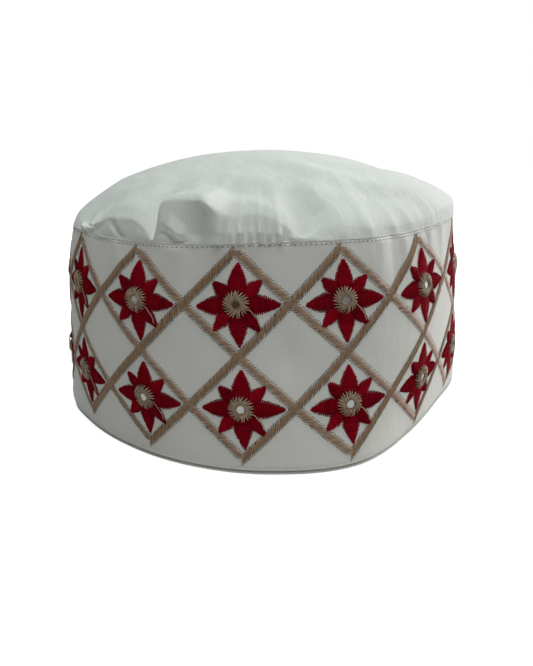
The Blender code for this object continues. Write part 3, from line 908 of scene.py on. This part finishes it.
def cover(name, rings, finish, node):
    """A sheet round the cap that stands in for one of its solids."""
    run = 0.0
    uv = []
    for index, (azimuth, radius, height) in enumerate(rings):
        if index:
            _, last_radius, last_height = rings[index - 1]
            run = run + np.hypot(radius - last_radius, height - last_height)
        uv.append(np.stack((np.radians(azimuth) * BAND_ROUND, run + 0 * azimuth), axis=-1))
    sheet = round_sheet(name, rings, finish, uv)
    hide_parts(node)


def make_seam_edge():
    """The folded edge that stands up along the seam, drawn in a little at every stitch."""
    azimuth = np.linspace(-180.0, 180.0, SEAM_STITCHES * SEAM_EDGE_STEPS, endpoint=False)
    turned = np.radians(azimuth)
    bead = 1.0 + 0.22 * np.cos(np.arange(len(azimuth)) / SEAM_EDGE_STEPS * 2 * np.pi)
    uneven = 1.0 + 0.3 * np.sin(turned * 23) * np.sin(turned * 7 + 1)
    seam_height = around("seam_height", azimuth)
    radius = band_radius(azimuth, seam_height) - SEAM_EDGE_IN
    rings, uv = [], []
    for side, turn in enumerate(np.radians(np.arange(0, 360, 60))):
        out = SEAM_EDGE_OUT * bead * uneven * math.cos(turn)
        rise = SEAM_EDGE_RISE + SEAM_EDGE_UP * bead * math.sin(turn) - SEAM_EDGE_LEAN * math.cos(turn)
        rings.append((azimuth, radius + out, seam_height + rise))
        uv.append(np.stack((turned * SEAM_EDGE_ROUND, 0 * azimuth + side), axis=-1))
    round_sheet("seam_edge", rings, BAND_CLOTH, uv)


def make_topstitch():
    """The row of stitches under the seam, with the needle holes between them as grey lenses of painted
    shade.
    """
    pitch = 360.0 / SEAM_STITCHES
    middle = -180.0 + (np.arange(SEAM_STITCHES) + 0.5) * pitch
    azimuth = middle[:, None] + pitch * TOPSTITCH_SHARE * np.array((-1.0, -0.4, 0.4, 1.0))
    flat = np.stack((azimuth, around("seam_height", azimuth) - TOPSTITCH_DROP), axis=-1)
    lift = np.array((-0.12, 0.02, 0.02, -0.12))
    lay_threads("topstitch_thread", flat, lift, 0.17, 0.16, WHITE_THREAD, place=band_place)
    # painted shade of the needle holes between the stitches
    gap = middle + pitch / 2
    here, out = band_place(gap, around("seam_height", gap) - TOPSTITCH_DROP)
    turned = np.radians(gap)
    along = np.stack((np.cos(turned), np.sin(turned), 0 * gap), axis=-1)
    pits("topstitch_hole_shades", here + out * TOPSTITCH_HOLE_LIFT, out, along, TOPSTITCH_HOLE, TOPSTITCH_HOLE_PAINTED_SHADE)


# The embroidery

def make_trellis_lean(name, lean, line, finish):
    """All the lines that lean one way, each a zigzag of long stitches between two rows of needle holes,
    drawn as dark lenses of painted shade.
    """
    draw = np.random.default_rng(line.seed)
    length = 4 * math.hypot(COLUMN_WIDTH / 2, ROW_PITCH)
    ahead = np.array((lean * COLUMN_WIDTH * 2, ROW_PITCH * 4)) / length
    beside = np.array((ahead[1], -ahead[0]))
    count = int((length + TRELLIS_END + line.early) / STITCH_HOLE_PITCH)
    run = -line.slant / 2 - line.early + np.arange(count) * STITCH_HOLE_PITCH
    starts = np.array([(column * COLUMN_WIDTH, ROW_DROP) for column in range(REPEATS)])

    def holes(offset, side):
        wander = draw.uniform(-HOLE_WANDER, HOLE_WANDER, (REPEATS, count, 2))
        return starts[:, None] + ahead * (run[:, None] + offset) + beside * side * line.width / 2 + wander

    near = holes(0.0, -1.0)
    far = holes(line.slant + STITCH_HOLE_PITCH / 2, 1.0)
    out_going = np.stack((near, far), axis=2).reshape(-1, 2, 2)
    back_coming = np.stack((far[:, :-1], near[:, 1:]), axis=2).reshape(-1, 2, 2)
    ends = np.concatenate((out_going, back_coming))
    share = np.array((0.0, 0.12, 0.5, 0.88, 1.0))
    flat = ends[:, :1] + (ends[:, 1:] - ends[:, :1]) * share[:, None]
    lift = (np.array((-0.10, 0.10, 0.20, 0.10, -0.10)) + line.lift) * draw.uniform(0.8, 1.2, (len(ends), 1))
    half = draw.uniform(*TRELLIS_HALF, len(ends))
    lay_threads(name + "_threads", flat, lift, half, 0.26, finish, place=trellis_place)
    # painted shade of the needle holes at both edges of each line
    thread_run = ahead * line.slant + beside * line.width
    thread_run = thread_run / np.linalg.norm(thread_run)
    outward = np.repeat((-HOLE_OUT, HOLE_OUT), REPEATS * (count - 1))
    dots = np.concatenate((near[:, 1:].reshape(-1, 2), far[:, 1:].reshape(-1, 2)))
    dots = dots + thread_run * outward[:, None]
    here, out = trellis_place(*dots.T)
    tips, _ = trellis_place(*(dots + thread_run * 0.5).T)
    pits(name + "_needle_hole_shades", here, out, tips - here, NEEDLE_HOLE_SIZE, NEEDLE_HOLE_PAINTED_SHADE)


def trellis_place(across, drop):
    """Places of the trellis, whose top corners sag a little under the seam."""
    sag = TOP_CORNER_SAG * np.clip(1 - (drop - ROW_DROP) / ROW_PITCH, 0.0, 1.1)
    return pattern_place(across, drop + sag)


def petal_width(petal, share):
    """Width of a petal's satin stitching, from its base at the mirror ring to its tip."""
    swell = np.sin(np.clip(share / petal.belly, 0, 1) * np.pi / 2)
    rising = petal.base + (petal.widest - petal.base) * swell
    past = np.clip((share - petal.belly) / (1 - petal.belly), 0, 1)
    falling = petal.widest - (petal.widest - petal.tip) * past ** petal.taper
    return np.where(share < petal.belly, rising, falling)


def flower_centres():
    """Middle of every flower on the unrolled band."""
    return np.array([(column * COLUMN_WIDTH, ROW_DROP + row * ROW_PITCH)
                     for row in FLOWER_ROWS.values() for column in range(REPEATS)])


def make_petals():
    """Eight red petals round every mirror, filled with stitches laid across them over a padding; each
    petal's red carries a painted glint by the way its stitches lie.
    """
    draw = np.random.default_rng(41)
    across = np.array((-1.0, -0.72, 0.0, 0.72, 1.0))
    cushion = np.array((-0.04, 0.30, 0.46, 0.30, -0.04))
    share = np.linspace(0.0, 1.0, 9)
    flat, lifts, half, tall, shades, padding, padding_half = [], [], [], [], [], [], []
    for centre in flower_centres():
        for petal in map(Petal._make, PETALS):
            turn = math.radians(petal.angle + draw.uniform(-2, 2))
            axis = pointing(turn)
            side = np.array((axis[1], -axis[0]))
            # painted glint: lighter or darker red by the stitches' direction to the light
            painted_glint = PAINTED_GLINT * math.cos(2 * (turn - math.radians(PAINTED_GLINT_ANGLE)))
            run = petal.reach - PETAL_BASE
            for index in range(int(run / SATIN_PITCH)):
                left, right = index // 2 * 2 * SATIN_PITCH, (index + 1) // 2 * 2 * SATIN_PITCH
                width = float(petal_width(petal, (index + 0.5) * SATIN_PITCH / run))
                ragged = draw.uniform(*SATIN_RAGGED, 2)
                along = PETAL_BASE + np.interp(across, (-1, 0, 1), (left, (left + right) / 2, right))
                sideways = across * width / 2 + np.where(across < 0, -ragged[0], ragged[1]) * np.abs(across)
                flat.append(centre + axis * along[:, None] + side * sideways[:, None])
                lifts.append(cushion * min(1.0, 0.35 + width / 5.0))
                thin = draw.uniform() < THIN_SHARE
                half.append(THIN_THREAD[0] if thin else draw.uniform(*SATIN_HALF))
                tall.append(THIN_THREAD[1] if thin else SATIN_HEIGHT)
                shades.append(0.5 + painted_glint + draw.uniform(-SHADE_SPREAD, SHADE_SPREAD))
            reach = PADDING_BASE + (petal.reach - PADDING_SHORT - PADDING_BASE) * share
            padding.append(centre + pointing(math.radians(petal.angle)) * reach[:, None])
            padding_half.append(petal_width(petal, share) * PADDING_SHARE / 2)
    lay_threads("petal_threads", flat, lifts, half, tall, RED_THREAD, ends=0.8, shades=shades)
    lay_threads("petal_padding", padding, PADDING_LIFT, padding_half, PADDING_HEIGHT, RED_THREAD)


def ring_height(radius):
    """How high the ring's threads lie: on the cloth outside the mirror and over its face inside."""
    return RING_LIFT + RING_CLIMB * smooth((RING_RADIUS + 0.1 - radius) / 1.2)


def lay_over_rings(name, starts, ends, half, finish, stops, raised=0.0):
    """Straight threads over every ring, from reach and angle to reach and angle about its middle."""
    share = np.linspace(0.0, 1.0, stops)[:, None]
    local = []
    for start, end in zip(starts, ends):
        near = pointing(math.radians(start.angle)) * start.reach
        far = pointing(math.radians(end.angle)) * end.reach
        local.append(near + (far - near) * share)
    lift = ring_height(np.linalg.norm(local, axis=-1)) + raised
    lift[:, (0, -1)] -= 0.15
    flat = (flower_centres()[:, None, None] + np.array(local)).reshape(-1, stops, 2)
    lay_threads(name, flat, np.tile(lift, (2 * REPEATS, 1)), half, half * 1.1, finish)


def make_mirror_rings():
    """The thread rings that hold the mirrors: a swirl of stitches and a rim round the glass."""
    draw = np.random.default_rng(17)
    step = 360.0 / RING_TEETH
    starts, ends = [], []
    for angle in np.arange(RING_TEETH) * step:
        wander = draw.uniform(-3, 3)
        for swirl in (RING_SWIRL, RING_SWIRL + step):
            starts.append(Polar(RING_RADIUS + draw.uniform(-0.15, 0.12), angle + wander))
            ends.append(Polar(RING_HOLE + draw.uniform(0.0, 0.25), angle + swirl + wander))
    lay_over_rings("ring_threads", starts, ends, 0.22, RING_THREAD, stops=6)
    lay_over_rings("long_ring_threads", *zip(*LONG_THREADS), 0.16, LIGHT_TAN, stops=9, raised=0.22)
    turn = np.linspace(0, 2 * np.pi, 25)
    flat, lift = [], []
    for centre in flower_centres():
        for radius, raised in RIM_TURNS:
            wobble = radius + 0.06 * np.sin(turn * 3 + draw.uniform(0, 6))
            flat.append(centre + pointing(turn) * wobble[:, None])
            lift.append((raised,))
    lay_threads("ring_rim_threads", flat, lift, 0.17, 0.18, TAN_THREAD, ends=1.0)


def make_thread_tails():
    """The tail of every ring: a thread carried from the ring over a petal to the trellis."""
    draw = np.random.default_rng(23)
    share = np.linspace(0, 1, 24)
    bend = 0.7 * np.sin(share * np.pi) + 0.1 * np.sin(share * np.pi * 4)
    lift = TAIL_LIFT + 0.10 * np.sin(share * np.pi * 10) - 0.6 * smooth((share - 0.88) / 0.12)
    flat = []
    for centre in flower_centres():
        near = TAIL_START.reach * pointing(math.radians(TAIL_START.angle + draw.uniform(-4, 4)))
        far = TAIL_END.reach * pointing(math.radians(TAIL_END.angle + draw.uniform(-2, 2)))
        run = (far - near) / np.linalg.norm(far - near)
        aside = np.array((run[1], -run[0])) * bend[:, None]
        flat.append(centre + near + (far - near) * share[:, None] + aside)
    lay_threads("ring_tail_threads", flat, lift, 0.18, 0.2, LIGHT_TAN)


def make_red_specks():
    """Bits of the red thread that come up through the trellis beside every flower."""
    draw = np.random.default_rng(29)
    flat = []
    for centre in flower_centres():
        for lean in (-1.0, 1.0):
            corner = centre + np.array((-lean * COLUMN_WIDTH / 2, 0.0))
            line = centre + np.array((0.0, ROW_PITCH)) - corner
            length = np.linalg.norm(line)
            ahead = line / length
            inside = np.array((-ahead[1], ahead[0]))
            for at in draw.uniform(2.0, length - 4.0, SPECKS_A_LINE):
                place = corner + ahead * at + inside * draw.uniform(0.5, 1.5)
                run = pointing(math.radians(78.0 if lean < 0 else 4.0)) * draw.uniform(0.35, 0.7)
                flat.append((place - run, place, place + run))
    lay_threads("red_thread_specks", flat, (0.1, 0.33, 0.1), 0.16, 0.2, RED_THREAD)


def finish_mirrors():
    """Old glass for the small mirrors, a few of them browned."""
    for name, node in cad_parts.items():
        if name.startswith("mirror_"):
            browned = name in BROWNED
            node.data.materials.clear()
            node.data.materials.append(BROWNED_MIRROR if browned else CLOUDED_MIRROR)


# The studio

def aim(azimuth, elevation, distance, target=(0.0, 0.0, 0.06)):
    """Place and turn of a lamp that looks at the cap."""
    turn, rise = math.radians(azimuth), math.radians(elevation)
    away = Vector((math.sin(turn) * math.cos(rise), -math.cos(turn) * math.cos(rise), math.sin(rise)))
    place = Vector(target) + away * distance
    return place, (-away).to_track_quat("-Z", "Y").to_euler()


def make_lights():
    """A soft light overhead and a low window from the right."""
    for lamp in map(Lamp._make, LAMPS):
        light = bpy.data.lights.new(lamp.name, "AREA")
        light.shape = "DISK"
        light.size = lamp.size
        light.energy = lamp.power
        light.color = lamp.colour
        holder = bpy.data.objects.new(lamp.name, light)
        holder.location, holder.rotation_euler = aim(lamp.azimuth, lamp.elevation, lamp.distance)
        bpy.context.scene.collection.objects.link(holder)


def make_world():
    """A pale room: white where it is seen and a modest even light on the cap."""
    world = bpy.data.worlds.new("pale room")
    world.use_nodes = True
    bpy.context.scene.world = world
    tree = world.node_tree
    backdrop = tree.nodes["Background"]
    backdrop.inputs["Color"].default_value = (1.0, 1.0, 1.0, 1.0)
    seen = tree.nodes.new("ShaderNodeLightPath")
    level = tree.nodes.new("ShaderNodeMix")
    tree.links.new(seen.outputs["Is Camera Ray"], level.inputs["Factor"])
    level.inputs["A"].default_value = ROOM_LIGHT
    level.inputs["B"].default_value = 1.0
    tree.links.new(level.outputs["Result"], backdrop.inputs["Strength"])


def make_floor():
    """A plain pale floor under the cap."""
    finish, tree, surface = new_finish("pale floor", 0.9)
    place = own_place(tree)
    tint(tree, surface, speckle(tree, place, 30.0), (0.83, 0.83, 0.82), (0.86, 0.86, 0.85))
    away = tree.nodes.new("ShaderNodeVectorMath")
    away.operation = "LENGTH"
    tree.links.new(place, away.inputs[0])
    fade = tree.nodes.new("ShaderNodeMapRange")
    tree.links.new(away.outputs["Value"], fade.inputs["Value"])
    for socket, value in zip(("From Min", "From Max", "To Min", "To Max"), FLOOR_GLOW):
        fade.inputs[socket].default_value = value
    seen = tree.nodes.new("ShaderNodeLightPath")
    glow = number(tree, "MULTIPLY", seen.outputs["Is Camera Ray"], fade.outputs["Result"])
    tree.links.new(glow, surface.inputs["Emission Strength"])
    surface.inputs["Emission Color"].default_value = (1.0, 1.0, 1.0, 1.0)
    turn = np.linspace(0, 2 * np.pi, 64, endpoint=False)
    points = np.stack((np.cos(turn) * FLOOR_RADIUS, np.sin(turn) * FLOOR_RADIUS, 0 * turn), axis=-1)
    floor = make_object("floor", points, [tuple(range(64))], finish, smooth_shaded=False)


def make_camera():
    """The camera at the photograph's place, angle and field of view."""
    pitch, yaw, roll = (math.radians(angle) for angle in (CAMERA_PITCH, CAMERA_YAW, CAMERA_ROLL))
    ahead = Vector((math.sin(yaw) * math.cos(pitch), math.cos(yaw) * math.cos(pitch), -math.sin(pitch)))
    right = Vector((math.cos(yaw), -math.sin(yaw), 0.0))
    up = right.cross(ahead)
    tilted_right = right * math.cos(roll) + up * math.sin(roll)
    tilted_up = -right * math.sin(roll) + up * math.cos(roll)
    lens = bpy.data.cameras.new("camera")
    lens.sensor_width = CAMERA_SENSOR
    lens.lens = CAMERA_FOCAL_PIXELS / PHOTO_HEIGHT * CAMERA_SENSOR
    camera = bpy.data.objects.new("camera", lens)
    turn = Matrix((tilted_right, tilted_up, -ahead)).transposed().to_4x4()
    camera.matrix_world = Matrix.Translation(CAMERA_PLACE) @ turn
    bpy.context.scene.collection.objects.link(camera)
    bpy.context.scene.camera = camera


make_crown()
make_band()
make_hem()
make_seam_edge()
make_topstitch()
make_trellis_lean("trellis_right", -1.0, RIGHT_LEANING, TAN_THREAD)
make_trellis_lean("trellis_left", 1.0, LEFT_LEANING, GLOSSY_TAN_PAINTED_GLINT)
make_petals()
make_mirror_rings()
make_thread_tails()
make_red_specks()
finish_mirrors()
make_lights()
make_world()
make_floor()
make_camera()
bpy.context.scene.view_settings.view_transform = "Standard"

bpy.context.view_layer.update()
